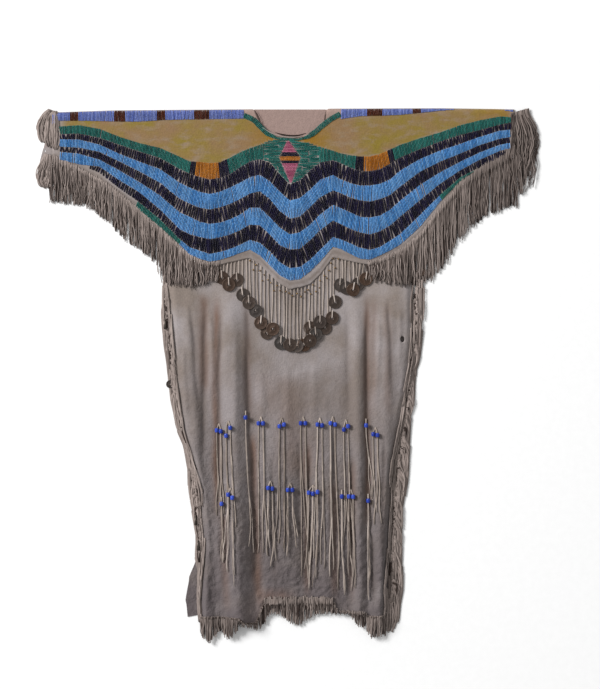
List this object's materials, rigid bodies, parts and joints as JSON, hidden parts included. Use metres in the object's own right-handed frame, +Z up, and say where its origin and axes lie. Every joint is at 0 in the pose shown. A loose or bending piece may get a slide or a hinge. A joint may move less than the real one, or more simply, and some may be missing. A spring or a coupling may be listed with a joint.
{
  "type": "beaded hide dress",
  "caption": "Hide dress laid flat, with a deep beaded yoke in wavy lanes, cut fringe all round, coins on thongs and blue beads on hanging thongs.",
  "frame": {"origin": "on the ground under the middle of the dress's outline, where the back hide rests", "axes": "+Z up, +Y from the hem towards the shoulders, +X towards the right side of the picture, which is the wearer's left"},
  "size_m": [1.2006, 1.2821, 0.036],
  "materials": {
    "hide": "smoke-tanned hide, soft nap, matt",
    "beaded_yoke": "hide covered with lanes of glass beads, with yellow-painted fields",
    "cut_fringe": "cut hide strands, matt",
    "thongs": "pale cut thongs, matt",
    "coins": "dark tarnished brass coins",
    "blue_beads": "blue glass beads strung on hide thongs",
    "tin_cones": "dull rolled tin"
  },
  "bodies": {
    "root": {"back_hide": "hide", "front_hide": "hide", "front_yoke": "beaded_yoke", "fringe_sleeve_left": "cut_fringe", "fringe_sleeve_right": "cut_fringe", "fringe_cuff_left": "cut_fringe", "fringe_cuff_right": "cut_fringe", "fringe_side_left": "cut_fringe", "fringe_side_right": "cut_fringe", "fringe_hem": "hide", "fringe_middle": "thongs", "side_disc_left": "coins", "side_coin_right": "coins", "side_cone_1": "tin_cones", "side_cone_2": "tin_cones", "side_cone_3": "tin_cones", "coin_01": "coins", "coin_02": "coins", "coin_03": "coins", "coin_04": "coins", "coin_05": "coins", "coin_06": "coins", "coin_07": "coins", "coin_08": "coins", "coin_09": "coins", "coin_10": "coins", "coin_11": "coins", "coin_12": "coins", "coin_13": "coins", "coin_14": "coins", "coin_15": "coins", "coin_16": "coins", "coin_17": "coins", "coin_18": "coins", "coin_19": "coins", "coin_20": "coins", "coin_21": "coins", "coin_22": "coins", "coin_23": "coins", "coin_24": "coins", "coin_25": "coins", "drop_upper_01": "blue_beads", "drop_upper_02": "blue_beads", "drop_upper_03": "blue_beads", "drop_upper_04": "blue_beads", "drop_upper_05": "blue_beads", "drop_upper_06": "blue_beads", "drop_upper_07": "blue_beads", "drop_upper_08": "blue_beads", "drop_upper_09": "blue_beads", "drop_upper_10": "blue_beads", "drop_upper_11": "blue_beads", "drop_lower_01": "blue_beads", "drop_lower_02": "blue_beads", "drop_lower_03": "blue_beads", "drop_lower_04": "blue_beads", "drop_lower_05": "blue_beads", "drop_lower_06": "blue_beads", "drop_lower_07": "blue_beads", "drop_lower_08": "blue_beads"}
  },
  "joints": []
}
